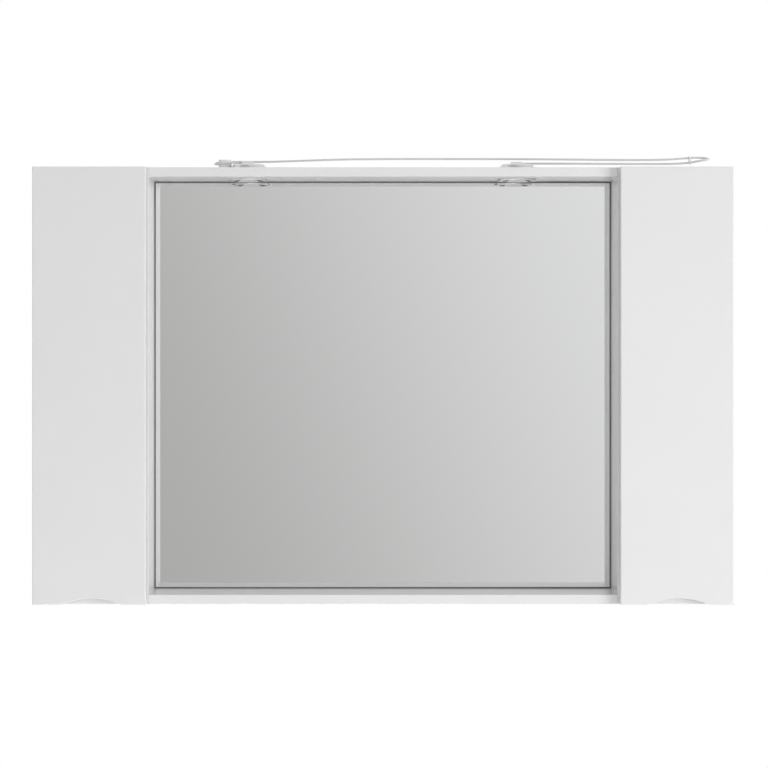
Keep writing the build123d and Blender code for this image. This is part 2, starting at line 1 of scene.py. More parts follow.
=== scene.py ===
import math

import bpy
from bpy.props import FloatProperty, FloatVectorProperty, IntProperty, PointerProperty
from mathutils import Matrix, Vector


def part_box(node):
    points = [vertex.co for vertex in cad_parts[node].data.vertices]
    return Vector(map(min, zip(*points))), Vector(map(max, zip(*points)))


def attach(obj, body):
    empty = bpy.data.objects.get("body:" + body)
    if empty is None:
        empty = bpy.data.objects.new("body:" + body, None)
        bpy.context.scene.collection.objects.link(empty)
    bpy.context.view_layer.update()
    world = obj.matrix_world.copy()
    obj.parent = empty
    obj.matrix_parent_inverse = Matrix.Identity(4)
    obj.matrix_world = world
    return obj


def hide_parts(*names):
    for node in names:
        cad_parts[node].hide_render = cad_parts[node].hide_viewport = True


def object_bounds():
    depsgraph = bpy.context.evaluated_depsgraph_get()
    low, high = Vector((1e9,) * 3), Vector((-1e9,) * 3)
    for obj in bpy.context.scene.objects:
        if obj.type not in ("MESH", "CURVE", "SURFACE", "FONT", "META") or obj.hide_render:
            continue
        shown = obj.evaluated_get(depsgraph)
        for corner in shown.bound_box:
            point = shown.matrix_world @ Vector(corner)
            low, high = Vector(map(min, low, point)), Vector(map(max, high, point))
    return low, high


bl_info = {
    "name": "Mirror cabinet",
    "version": (1, 0, 0),
    "blender": (4, 5, 0),
    "location": "View3D > Sidebar > Cabinet",
    "description": "Finishes, small fittings, lead and studio for a mirror cabinet",
    "category": "Object",
}

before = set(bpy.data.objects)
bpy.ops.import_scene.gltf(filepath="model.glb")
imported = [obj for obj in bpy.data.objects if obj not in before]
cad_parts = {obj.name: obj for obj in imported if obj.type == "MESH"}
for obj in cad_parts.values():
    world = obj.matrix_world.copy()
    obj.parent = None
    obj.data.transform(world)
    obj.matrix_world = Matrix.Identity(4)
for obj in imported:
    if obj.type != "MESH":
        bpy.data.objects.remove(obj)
cad_low, cad_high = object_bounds()

SIDES = {"left": -1, "right": 1}
SOCKETS = {"specular_ior_level": "Specular IOR Level", "ior": "IOR"}


def colour(name, description, default):
    """A colour that the user can change."""
    return FloatVectorProperty(
        name=name, description=description, subtype="COLOR", size=3, min=0.0, max=1.0, default=default
    )


def length(name, description, default):
    """A length in metres that the user can change."""
    return FloatProperty(
        name=name, description=description, unit="LENGTH", subtype="DISTANCE", min=0.0, default=default
    )


def coordinate(name, description, default):
    """A coordinate in metres that the user can change."""
    return FloatProperty(name=name, description=description, unit="LENGTH", default=default)


def power(name, description, default):
    """The power of a lamp in watts, which the user can change."""
    return FloatProperty(name=name, description=description, unit="POWER", min=0.0, default=default)


def pixels(name, description, default):
    """A distance in the picture that the user can change."""
    return FloatProperty(name=name, description=description, subtype="PIXEL", default=default)


class CabinetColours(bpy.types.PropertyGroup):
    """Colours of the finishes."""

    lacquer: colour("Lacquer", "White lacquer of the doors and boards", (0.81, 0.81, 0.808))
    board: colour("Raw board", "Raw board behind the mirror", (0.47, 0.37, 0.27))
    silvering: colour("Silvering", "Reflection of the mirror", (0.90, 0.905, 0.905))
    # Seam colour: the ground edge round the silvering, darkened as painted shade of the gap between the
    # mirror and the boards.
    seam: colour("Seam", "Ground edge round the mirror", (0.16, 0.16, 0.16))
    backing: colour("Backing paint", "Paint on the back of the mirror", (0.23, 0.26, 0.25))
    glass: colour("Glass", "Glass of the shelves", (0.90, 0.96, 0.94))
    glass_edge: colour("Glass edge", "Green of a glass edge", (0.25, 0.48, 0.40))
    chrome: colour("Chrome", "Chrome of the spot rings", (0.74, 0.74, 0.75))
    nickel: colour("Nickel", "Nickel plating of the hinges", (0.62, 0.61, 0.59))
    zinc: colour("Zinc", "Galvanised steel of the hangers", (0.55, 0.57, 0.59))
    aluminium: colour("Aluminium", "Spun aluminium of the spot cans", (0.72, 0.72, 0.73))
    frosted: colour("Frosted glass", "Glass of the spots", (0.90, 0.90, 0.89))
    ceramic: colour("Ceramic", "Lamp sockets", (0.82, 0.80, 0.75))
    plastic: colour("Plastic", "Moulded hangers and terminals", (0.80, 0.80, 0.79))
    sheath: colour("Sheath", "Sheath of the lead", (0.66, 0.66, 0.655))
    brass: colour("Brass", "Screws in the terminals", (0.62, 0.47, 0.22))
    post: colour("Post", "Post that the lead turns round", (0.86, 0.86, 0.855))
    foam: colour("Foam", "Mounting tape behind the mirror", (0.78, 0.78, 0.77))


class CabinetSizes(bpy.types.PropertyGroup):
    """Sizes of the small fittings and the lead."""

    lead_diameter: length("Lead diameter", "Outside diameter of the lead", 0.0036)
    lead_length: length("Lead length", "Length of the lead between the spots", 1.2718)
    hinge_inset: length("Hinge inset", "From a door's ends to the middle of a hinge", 0.110)
    plate_pitch: length("Plate screws", "Between the two screws of a mounting plate", 0.032)
    wing_pitch: length("Cup screws", "Between the two screws of a hinge cup", 0.045)
    wall_pitch: length("Wall screws", "Between the two screws of a wall plate", 0.032)
    plate_sheet: length("Wall plate sheet", "Thickness of a wall plate", 0.002)
    wall_rise: length("Wall screw height", "From a wall plate's lower edge to its screws", 0.0134)
    wood_screw: length("Wood screw", "Head radius of the screws in the boards", 0.0033)
    wing_screw: length("Cup screw", "Head radius of the screws in the cup wings", 0.0031)
    terminal_screw: length("Terminal screw", "Head radius of the terminal screws", 0.00125)
    wall_screw: length("Wall screw", "Head radius of the screws in the wall plates", 0.0052)
    dial_screw: length("Dial screw", "Radius of the setting screws in the hangers", 0.0036)
    cap_radius: length("Cover cap", "Radius of the caps over the board fittings", 0.0075)
    cap_height: length("Cap height", "How far the caps stand proud", 0.0012)
    cap_inset: length("Cap inset", "From the boards' ends to the middle of a cap", 0.014)
    cap_front: length("Cap front", "From the boards' front to the front caps", 0.0308)
    cap_back: length("Cap back", "From the wall to the rear caps", 0.0224)
    # The seam band covers the ground edge and the painted shade of the gap round the mirror.
    seam_width: length("Seam width", "Ground edge round the silvering", 0.0018)
    seam_blur: length("Seam blur", "Width in which the silvering fades out", 0.0006)
    post_height: length("Post height", "Height of the post that the lead turns round", 0.0185)
    post_corner: length("Post corner", "Rounding of the post's upright edges", 0.0075)
    post_rim: length("Post rim", "Width of the rim round the post's dish", 0.0016)


class CabinetStudio(bpy.types.PropertyGroup):
    """Camera and lights."""

    camera_x: coordinate("Camera x", "How far the camera stands to the right", -0.0206)
    camera_y: coordinate("Camera y", "How far the camera stands behind the wall", -4.462)
    camera_z: coordinate("Camera z", "Height of the camera over the middle", 0.038)
    focal: FloatProperty(name="Focal length", description="In millimetres on the sensor", default=117.9)
    sensor: FloatProperty(name="Sensor", description="Width of the sensor in millimetres", default=36.0)
    axis_x: pixels("Axis x", "Where the optical axis meets the picture", 371.0)
    axis_y: pixels("Axis y", "Where the optical axis meets the picture", 363.5)
    picture: IntProperty(name="Picture", description="Width and height of the picture in pixels", default=768)
    ambient: FloatProperty(name="Ambient", description="Strength of the light from all round", default=0.44)
    key_power: power("Key", "Large light on the right", 178.0)
    fill_power: power("Fill", "Light on the left", 25.0)
    floor_power: power("Floor light", "Light on the floor before the cabinet", 12.0)
    top_power: power("Top", "Light from above and behind", 34.0)
    floor_drop: length("Floor", "How far the floor lies below the cabinet", 1.0)


class Field:
    """A shader value that plain arithmetic can work on."""

    def __init__(self, tree, socket):
        self.tree = tree
        self.socket = socket

    def joined(self, operation, first, second):
        """Two values, each a field or a number, joined by one operation."""
        made = self.tree.nodes.new("ShaderNodeMath")
        made.operation = operation
        for slot, value in zip(made.inputs, (first, second)):
            if isinstance(value, Field):
                self.tree.links.new(value.socket, slot)
            else:
                slot.default_value = value
        return Field(self.tree, made.outputs[0])

    def math(self, operation, other=0.0):
        return self.joined(operation, self, other)

    def __add__(self, other):
        return self.joined("ADD", self, other)

    def __sub__(self, other):
        return self.joined("SUBTRACT", self, other)

    def __rsub__(self, other):
        return self.joined("SUBTRACT", other, self)

    def __mul__(self, other):
        return self.joined("MULTIPLY", self, other)

    __radd__ = __add__
    __rmul__ = __mul__

    def between(self, low, high, out_low=0.0, out_high=1.0, smooth=False):
        """The value brought from one range into another, held at its ends."""
        made = self.tree.nodes.new("ShaderNodeMapRange")
        made.interpolation_type = "SMOOTHSTEP" if smooth else "LINEAR"
        made.clamp = True
        self.tree.links.new(self.socket, made.inputs["Value"])
        for name, value in (("From Min", low), ("From Max", high), ("To Min", out_low), ("To Max", out_high)):
            made.inputs[name].default_value = value
        return Field(self.tree, made.outputs["Result"])


class Finish:
    """A material under construction, with its shader and its place in the object."""

    def __init__(self, name):
        self.material = bpy.data.materials.new(name)
        self.material.use_nodes = True
        self.tree = self.material.node_tree
        self.shader = self.tree.nodes["Principled BSDF"]
        self.place = self.node("ShaderNodeTexCoord").outputs["Object"]

    def node(self, kind, inputs=(), **settings):
        """A node with its settings, its inputs linked or set by name."""
        made = self.tree.nodes.new(kind)
        for name, value in settings.items():
            setattr(made, name, value)
        for name, value in dict(inputs).items():
            self.put(made.inputs[name], value)
        return made

    def put(self, socket, value):
        """Links a field or socket, or sets a plain value."""
        if isinstance(value, Field):
            self.tree.links.new(value.socket, socket)
        elif isinstance(value, bpy.types.NodeSocket):
            self.tree.links.new(value, socket)
        elif hasattr(value, "__len__"):
            parts = list(value)
            wants = len(socket.default_value)
            socket.default_value = parts + [1.0] * (wants - len(parts))
        else:
            socket.default_value = value

    def set(self, **values):
        """Sets the shader's sockets, named with underscores for spaces."""
        for name, value in values.items():
            self.put(self.shader.inputs[SOCKETS.get(name, name.replace("_", " ").title())], value)
        return self

    def stretched(self, scale):
        """The place scaled along each axis, for grain and drawing lines."""
        made = self.node("ShaderNodeMapping", {"Vector": self.place, "Scale": scale})
        return made.outputs["Vector"]

    def noise(self, scale, detail=2.0, rough=0.5, source=None):
        made = self.node(
            "ShaderNodeTexNoise",
            {"Vector": source or self.place, "Scale": scale, "Detail": detail, "Roughness": rough},
        )
        return Field(self.tree, made.outputs["Fac"])

    def cells(self, scale):
        made = self.node("ShaderNodeTexVoronoi", {"Vector": self.place, "Scale": scale})
        return Field(self.tree, made.outputs["Distance"])

    def axis(self, letter, source=None):
        """One coordinate of the place."""
        made = self.node("ShaderNodeSeparateXYZ", {"Vector": source or self.place})
        return Field(self.tree, made.outputs[letter])

    def facing(self, letter):
        """One component of the surface's direction in the object."""
        made = self.node("ShaderNodeTexCoord")
        return self.axis(letter, made.outputs["Normal"])

    def blend(self, share, first, second):
        """A colour between two, by a field from 0 to 1."""
        made = self.node("ShaderNodeMix", data_type="RGBA")
        self.put(made.inputs["Factor"], share)
        self.put(made.inputs["A"], first)
        self.put(made.inputs["B"], second)
        return made.outputs["Result"]

    def bump(self, height, strength, depth):
        """A relief of that depth in metres."""
        made = self.node("ShaderNodeBump", {"Height": height, "Strength": strength, "Distance": depth})
        self.put(self.shader.inputs["Normal"], made.outputs["Normal"])
        return self


def shade(base, factor):
    """A colour made lighter or darker."""
    return tuple(min(1.0, part * factor) for part in base)


def lacquer(colours):
    """White lacquer: a faint orange peel, slow changes of gloss and a clear coat."""
    finish = Finish("white_lacquer")
    peel = finish.noise(420.0, 1.0)
    slow = finish.noise(5.0, 3.0)
    specks = finish.noise(1600.0, 0.0).between(0.72, 0.86)
    body = finish.blend(
        slow.between(0.35, 0.65), shade(colours.lacquer, 0.992), shade(colours.lacquer, 1.004)
    )
    finish.set(
        base_color=finish.blend(specks * 0.06, body, shade(colours.lacquer, 0.8)),
        roughness=slow.between(0.3, 0.7, 0.30, 0.36) + peel * 0.02,
        coat_weight=peel.between(0.2, 0.8, 0.30, 0.40),
        coat_roughness=0.12,
        specular_ior_level=0.4,
    )
    return finish.bump(peel + slow * 0.6, 0.10, 0.00012).material


def raw_board(colours):
    """Raw fibreboard: fine fibres and scattered darker chips."""
    finish = Finish("raw_board")
    fibres = finish.noise(700.0, 4.0, 0.7, finish.stretched((1.0, 1.0, 0.35)))
    chips = finish.cells(230.0).between(0.15, 0.5)
    tone = finish.blend(fibres, shade(colours.board, 0.80), shade(colours.board, 1.25))
    finish.set(
        base_color=finish.blend(chips * 0.35, tone, shade(colours.board, 1.45)),
        roughness=fibres.between(0.2, 0.8, 0.75, 0.9),
    )
    return finish.bump(fibres + chips * 0.5, 0.35, 0.0004).material


def thin_back(colours):
    """Thin hardboard, lacquered white towards the compartment and raw behind."""
    finish = Finish("thin_back")
    raw = finish.facing("Y").between(0.4, 0.6)
    fibres = finish.noise(520.0, 4.0, 0.7, finish.stretched((1.0, 1.0, 0.5)))
    rough_side = finish.blend(fibres, shade(colours.board, 0.62), shade(colours.board, 1.05))
    finish.set(
        base_color=finish.blend(raw, colours.lacquer, rough_side),
        roughness=raw.between(0.0, 1.0, 0.4, 0.85) + fibres * 0.05,
    )
    return finish.bump(fibres * raw, 0.3, 0.0003).material


def mirror(colours, sizes):
    """A silvered mirror: bright in front, ground along and at its edges, painted behind. The dark band round
    the front is the ground edge, darkened further as painted shade of the gap between the glass and the
    boards.
    """
    finish = Finish("silvered_mirror")
    front = finish.facing("Y").between(-0.95, -0.7, 1.0, 0.0)
    back = finish.facing("Y").between(0.6, 0.9)
    waves = finish.noise(2.2, 1.0)
    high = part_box("mirror_glass")[1]
    from_end = high.x - finish.axis("X").math("ABSOLUTE")
    from_top = high.z - finish.axis("Z").math("ABSOLUTE")
    from_edge = from_end.math("MINIMUM", from_top)
    silvered = front * from_edge.between(sizes.seam_width, sizes.seam_width + sizes.seam_blur)
    dust = finish.noise(900.0, 2.0)
    edge = shade(colours.glass_edge, 0.35)
    paint = finish.blend(dust, shade(colours.backing, 0.85), colours.backing)
    sides = finish.blend(back, edge, paint)
    # Outside the silvering the front takes the seam colour: the ground edge, with painted shade of the gap to
    # the boards.
    ground = finish.blend(front, sides, colours.seam)
    finish.set(
        base_color=finish.blend(silvered, ground, colours.silvering),
        metallic=silvered,
        roughness=silvered.between(0.0, 1.0, 0.5, 0.0) + waves * 0.004,
    )
    return finish.bump(dust * back, 0.2, 0.0002).material


def shelf_glass(colours):
    """Clear glass with green polished edges."""
    finish = Finish("shelf_glass")
    flat = finish.facing("Z").math("ABSOLUTE").between(0.5, 0.9)
    smears = finish.noise(26.0, 4.0)
    finish.set(
        base_color=finish.blend(flat, colours.glass_edge, colours.glass),
        roughness=smears.between(0.4, 0.8, 0.02, 0.06),
        alpha=flat.between(0.0, 1.0, 0.85, 0.22),
        ior=1.5,
    )
    return finish.material


def chrome(colours):
    """Polished chrome with a trace of fine circular wear."""
    finish = Finish("polished_chrome")
    wear = finish.noise(380.0, 3.0)
    finish.set(
        base_color=finish.blend(wear, shade(colours.chrome, 0.97), colours.chrome),
        metallic=1.0,
        roughness=wear.between(0.3, 0.7, 0.045, 0.085),
    )
    return finish.bump(wear, 0.03, 0.00005).material


def plated(name, base, low, high):
    """Plated or galvanised steel, with its drawing lines and slight blotches."""
    finish = Finish(name)
    lines = finish.noise(260.0, 3.0, 0.6, finish.stretched((8.0, 8.0, 0.6)))
    blotches = finish.noise(90.0, 3.0)
    finish.set(
        base_color=finish.blend(blotches, shade(base, 0.88), shade(base, 1.08)),
        metallic=1.0,
        roughness=blotches.between(0.3, 0.7, low, high) + lines * 0.05,
    )
    return finish.bump(lines, 0.08, 0.0001).material


def spun_aluminium(colours, centre):
    """Spun aluminium, with rings about the spot's axis."""
    finish = Finish("spun_aluminium_" + ("left" if centre[0] < 0 else "right"))
    across = finish.axis("X") - centre[0]
    along = finish.axis("Y") - centre[1]
    radius = (across * across + along * along).math("SQRT")
    rings = (radius * 5200.0).math("SINE").between(-1.0, 1.0)
    blotches = finish.noise(60.0, 3.0)
    finish.set(
        base_color=finish.blend(blotches, shade(colours.aluminium, 0.9), shade(colours.aluminium, 1.06)),
        metallic=1.0,
        roughness=blotches.between(0.3, 0.7, 0.26, 0.36) + rings * 0.06,
    )
    return finish.bump(rings, 0.15, 0.00008).material


def frosted_glass(colours):
    """Sand-blasted glass, pale and soft."""
    finish = Finish("frosted_glass")
    grain = finish.noise(1500.0, 1.0)
    finish.set(
        base_color=finish.blend(grain, shade(colours.frosted, 0.94), colours.frosted),
        roughness=grain.between(0.2, 0.8, 0.28, 0.42),
        coat_weight=0.25,
        coat_roughness=0.1,
    )
    return finish.bump(grain, 0.12, 0.0001).material


def lamp_glass(colours):
    """The clear capsule of the lamp."""
    finish = Finish("lamp_glass")
    smears = finish.noise(300.0, 2.0)
    finish.set(
        base_color=colours.glass,
        roughness=smears.between(0.3, 0.7, 0.03, 0.08),
        alpha=smears.between(0.0, 1.0, 0.40, 0.50),
    )
    return finish.material


def moulded(name, base, scale, low, high, relief=0.25):
    """Moulded plastic, rubber or ceramic with a fine grain."""
    finish = Finish(name)
    grain = finish.noise(scale, 2.0)
    slow = finish.noise(scale / 14.0, 2.0)
    finish.set(
        base_color=finish.blend(slow, shade(base, 0.95), shade(base, 1.03)),
        roughness=grain.between(0.3, 0.7, low, high),
    )
    return finish.bump(grain, relief, 0.0001).material


def foam(colours):
    """Closed-cell foam of the mounting tape."""
    finish = Finish("foam_tape")
    cells = finish.cells(1400.0)
    finish.set(
        base_color=finish.blend(cells, shade(colours.foam, 1.05), shade(colours.foam, 0.8)),
        roughness=cells.between(0.1, 0.6, 0.8, 0.92),
    )
    return finish.bump(cells, 0.5, 0.0002).material


def dress(node, material):
    """Gives a CAD node its finish."""
    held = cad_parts[node].data.materials
    held.clear()
    held.append(material)


def deselect():
    bpy.ops.object.select_all(action="DESELECT")


def settle(piece, body):
    """Applies a piece's place, smooths it and says what it rides on."""
    deselect()
    piece.select_set(True)
    bpy.context.view_layer.objects.active = piece
    bpy.ops.object.transform_apply(location=True, rotation=True, scale=True)
    bpy.ops.object.shade_smooth_by_angle(angle=math.radians(35))
    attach(piece, body)


def copies(first, places, turn, body, name):
    """Copies a piece to each place, turned the same way, each copy with its own mesh."""
    made = []
    for index, place in enumerate(places):
        piece = first.copy()
        piece.data = first.data.copy()
        piece.name = f"{name}_{index + 1}"
        bpy.context.collection.objects.link(piece)
        piece.matrix_world = Matrix.Translation(place) @ turn
        settle(piece, body)
        made.append(piece)
    bpy.data.objects.remove(first)
    return made


def screw_head(radius, height, material):
    """A pan head with a cross recess, standing on the ground at the origin."""
    deselect()
    bpy.ops.mesh.primitive_cylinder_add(vertices=32, radius=radius, depth=height, location=(0, 0, height / 2))
    head = bpy.context.active_object
    rim = head.modifiers.new("rim", "BEVEL")
    rim.width = height * 0.42
    rim.segments = 3
    rim.limit_method = "ANGLE"
    bpy.ops.object.modifier_apply(modifier=rim.name)
    for turn in (0.0, math.pi / 2):
        deselect()
        bpy.ops.mesh.primitive_cube_add(size=1.0, location=(0, 0, height), rotation=(0, 0, turn))
        bar = bpy.context.active_object
        bar.scale = (radius * 1.15, radius * 0.27, height * 1.1)
        bpy.ops.object.transform_apply(location=True, rotation=True, scale=True)
        deselect()
        head.select_set(True)
        bpy.context.view_layer.objects.active = head
        cut = head.modifiers.new("cross", "BOOLEAN")
        cut.operation = "DIFFERENCE"
        cut.object = bar
        bpy.ops.object.modifier_apply(modifier=cut.name)
        bpy.data.objects.remove(bar)
    head.data.materials.append(material)
    return head


def hinge_levels(sizes):
    """Heights of the middles of the two hinges of a door."""
    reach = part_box("door_left")[1].z - sizes.hinge_inset
    return (-reach, reach)


class CABINET_OT_stage(bpy.types.Operator):
    """Sets up the camera, the lights, the floor and what the mirror faces"""

    bl_idname = "cabinet.stage"
    bl_label = "Stage"

    def execute(self, context):
        studio = context.scene.cabinet_studio
        self.camera(context, studio)
        self.world(context, studio)
        middle = (0.0, -0.1, 0.0)
        below = (-0.2, -0.6, -2.0)
        self.lamp(context, "key_light", (4.6, -3.3, 0.3), 2.8, studio.key_power, middle)
        self.lamp(context, "fill_light", (-2.6, -4.3, 0.4), 2.6, studio.fill_power, middle)
        self.lamp(context, "floor_light", (-0.2, -0.6, -0.7), 1.0, studio.floor_power, below)
        self.lamp(context, "top_light", (0.0, 0.9, 2.6), 2.2, studio.top_power, middle)
        self.floor(studio)
        self.facing_wall()
        return {"FINISHED"}

    def camera(self, context, studio):
        data = bpy.data.cameras.new("camera")
        data.lens = studio.focal
        data.sensor_width = studio.sensor
        data.shift_x = 0.5 - studio.axis_x / studio.picture
        data.shift_y = studio.axis_y / studio.picture - 0.5
        camera = bpy.data.objects.new("camera", data)
        camera.location = (studio.camera_x, studio.camera_y, studio.camera_z)
        camera.rotation_euler = (math.pi / 2, 0, 0)
        context.collection.objects.link(camera)
        context.scene.camera = camera
        context.scene.view_settings.view_transform = "Standard"

    def world(self, context, studio):
        world = bpy.data.worlds.new("studio")
        world.use_nodes = True
        tree = world.node_tree
        tree.nodes.clear()
        out = tree.nodes.new("ShaderNodeOutputWorld")
        ways = tree.nodes.new("ShaderNodeLightPath")
        seen = Field(tree, ways.outputs["Is Camera Ray"])
        seen = seen.math("MAXIMUM", Field(tree, ways.outputs["Is Glossy Ray"]))
        seen = seen.math("MAXIMUM", Field(tree, ways.outputs["Is Transmission Ray"]))
        strength = seen * (1.0 - studio.ambient) + studio.ambient
        light = tree.nodes.new("ShaderNodeBackground")
        light.inputs["Color"].default_value = (1, 1, 1, 1)
        tree.links.new(strength.socket, light.inputs["Strength"])
        tree.links.new(light.outputs[0], out.inputs["Surface"])
        context.scene.world = world

    def lamp(self, context, name, spot, size, power, target):
        """A square lamp at a spot, turned to its target."""
        data = bpy.data.lights.new(name, "AREA")
        data.size = size
        data.energy = power
        lamp = bpy.data.objects.new(name, data)
        lamp.location = spot
        aim = Vector(target) - lamp.location
        lamp.rotation_euler = aim.to_track_quat("-Z", "Y").to_euler()
        lamp.visible_glossy = False
        context.collection.objects.link(lamp)

    def floor(self, studio):
        """A plain pale floor below the cabinet."""
        deselect()
        height = cad_low.z - studio.floor_drop
        bpy.ops.mesh.primitive_circle_add(vertices=96, radius=3.2, fill_type="NGON", location=(0, 0, height))
        floor = bpy.context.active_object
        floor.name = "floor"
        finish = Finish("pale_floor")
        grain = finish.noise(14.0, 3.0)
        finish.set(base_color=finish.blend(grain, (0.80, 0.80, 0.80), (0.83, 0.83, 0.83)), roughness=0.7)
        floor.data.materials.append(finish.material)

    def facing_wall(self):
        """The dim wall that the mirror shows, lighter to the upper right and darker at its foot."""
        deselect()
        bpy.ops.mesh.primitive_plane_add(size=1.0, location=(0, -8.0, 0), rotation=(math.pi / 2, 0, 0))
        wall = bpy.context.active_object
        wall.name = "facing_wall"
        wall.scale = (30.0, 14.0, 1.0)
        bpy.ops.object.transform_apply(location=True, rotation=True, scale=True)
        finish = Finish("facing_wall")
        tree = finish.tree
        to_right, upwards, middle = 0.4939, 0.2035, 0.6829
        darkest, lightest = 0.444, 0.811
        foot_low, foot_high, foot_share = -2.6, -1.3, 0.5
        slant = finish.axis("X") * to_right + finish.axis("Z") * upwards + middle
        tone = slant.between(-0.25, 1.75, darkest, lightest, smooth=True)
        tone = tone * finish.axis("Z").between(foot_low, foot_high, foot_share, 1.0, smooth=True)
        tint = finish.blend(slant.between(0.0, 1.2), (1.0, 0.985, 0.978), (1.0, 1.0, 1.0))
        glow = finish.node("ShaderNodeEmission", {"Color": tint, "Strength": tone})
        out = tree.nodes["Material Output"]
        tree.links.new(glow.outputs[0], out.inputs["Surface"])
        self.only_reflected(wall, finish.material)

    def only_reflected(self, card, material):
        """Lets a card show in reflections and nowhere else."""
        card.data.materials.append(material)
        card.visible_camera = False
        card.visible_diffuse = False
        card.visible_shadow = False
        card.visible_transmission = False


class CABINET_OT_lead(bpy.types.Operator):
    """Lays the lead between the two spots, with its loop over the right cabinet"""

    bl_idname = "cabinet.lead"
    bl_label = "Lead"

    # x, y and height above the top panel, in millimetres
    route = (
        (-244, -86, 12.65),
        (-258, -86, 12.65),
        (-279, -84, 11.5),
        (-291, -76, 10.0),
        (-294, -63.5, 12.5),
        (-284, -54.5, 16.2),
        (-257, -53, 16.6),
        (-206, -56, 16.0),
        (-150, -63, 17.2),
        (-88, -67, 19.2),
        (-27, -66, 20.2),
        (36, -63, 20.7),
        (98, -60, 20.9),
        (160, -59, 20.9),
        (206, -61, 20.8),
        (262, -63, 20.4),
        (322, -66, 19.6),
        (382, -67, 18.9),
        (438, -64, 18.9),
        (478, -61, 19.2),
        (507, -61, 20.4),
        (530, -59, 22.4),
        (548, -53.5, 23.7),
        (563, -55.5, 23.0),
        (571, -67, 20.6),
        (564, -79, 18.0),
        (549, -76.5, 15.8),
        (535, -67.5, 13.6),
        (513, -63.5, 12.1),
        (478, -66, 11.7),
        (426, -71, 11.4),
        (368, -73, 11.5),
        (312, -67, 12.2),
        (272, -62, 12.65),
        (244, -62, 12.65),
    )

    def execute(self, context):
        sizes = context.scene.cabinet_sizes
        colours = context.scene.cabinet_colours
        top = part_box("niche_top")[1].z
        points = [Vector((x / 1000, y / 1000, top + height / 1000)) for x, y, height in self.route]
        data = bpy.data.curves.new("lead", "CURVE")
        data.dimensions = "3D"
        data.resolution_u = 12
        data.bevel_depth = sizes.lead_diameter / 2
        data.bevel_resolution = 6
        data.use_fill_caps = True
        line = data.splines.new("NURBS")
        line.points.add(len(points) - 1)
        for held, point in zip(line.points, points):
            held.co = (*point, 1.0)
        line.order_u = 3
        line.use_endpoint_u = True
        lead = bpy.data.objects.new("lead", data)
        context.collection.objects.link(lead)
        lead.data.materials.append(moulded("lead_sheath", colours.sheath, 900.0, 0.35, 0.48, 0.1))
        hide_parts("lamp_lead")
        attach(lead, "cabinet")
        return {"FINISHED"}


class CABINET_OT_finishes(bpy.types.Operator):
    """Gives every board, pane and fitting its material"""

    bl_idname = "cabinet.finishes"
    bl_label = "Finishes"

    def execute(self, context):
        colours = context.scene.cabinet_colours
        white = lacquer(colours)
        nickel = plated("nickel_plating", colours.nickel, 0.20, 0.30)
        zinc = plated("zinc_plating", colours.zinc, 0.34, 0.48)
        plastic = moulded("moulded_plastic", colours.plastic, 700.0, 0.38, 0.5)
        by_start = {
            "inner_side": white,
            "outer_side": white,
            "top_board": white,
            "bottom_board": white,
            "niche_": white,
            "door_left": white,
            "door_right": white,
            "back_board": thin_back(colours),
            "mirror_backboard": raw_board(colours),
            "mirror_tape": foam(colours),
            "mirror_glass": mirror(colours, context.scene.cabinet_sizes),
            "lower_shelf": shelf_glass(colours),
            "upper_shelf": shelf_glass(colours),
            "shelf_pins": nickel,
            "hinge_": nickel,
            "door_bumpers": moulded("soft_bumper", shade(colours.plastic, 0.95), 500.0, 0.3, 0.4),
            "hanger_hook": zinc,
            "hanger_left": plastic,
            "hanger_right": plastic,
            "wall_plate": zinc,
            "spot_ring": chrome(colours),
            "spot_lens": frosted_glass(colours),
            "spot_clips": nickel,
            "lamp_socket": moulded("glazed_ceramic", colours.ceramic, 600.0, 0.3, 0.45),
            "capsule_lamp": lamp_glass(colours),
            "terminal": moulded("terminal_plastic", colours.plastic, 800.0, 0.4, 0.55),
            "lead_tie": moulded("tie_nylon", shade(colours.plastic, 0.92), 500.0, 0.35, 0.45),
            "lamp_lead": plastic,
        }
        for side in SIDES:
            low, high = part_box("spot_can_" + side)
            by_start["spot_can_" + side] = spun_aluminium(colours, (low + high) / 2)
        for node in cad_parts:
            starts = [start for start in by_start if node.startswith(start)]
            if not starts:
                raise ValueError("no finish for " + node)
            dress(node, by_start[max(starts, key=len)])
        return {"FINISHED"}


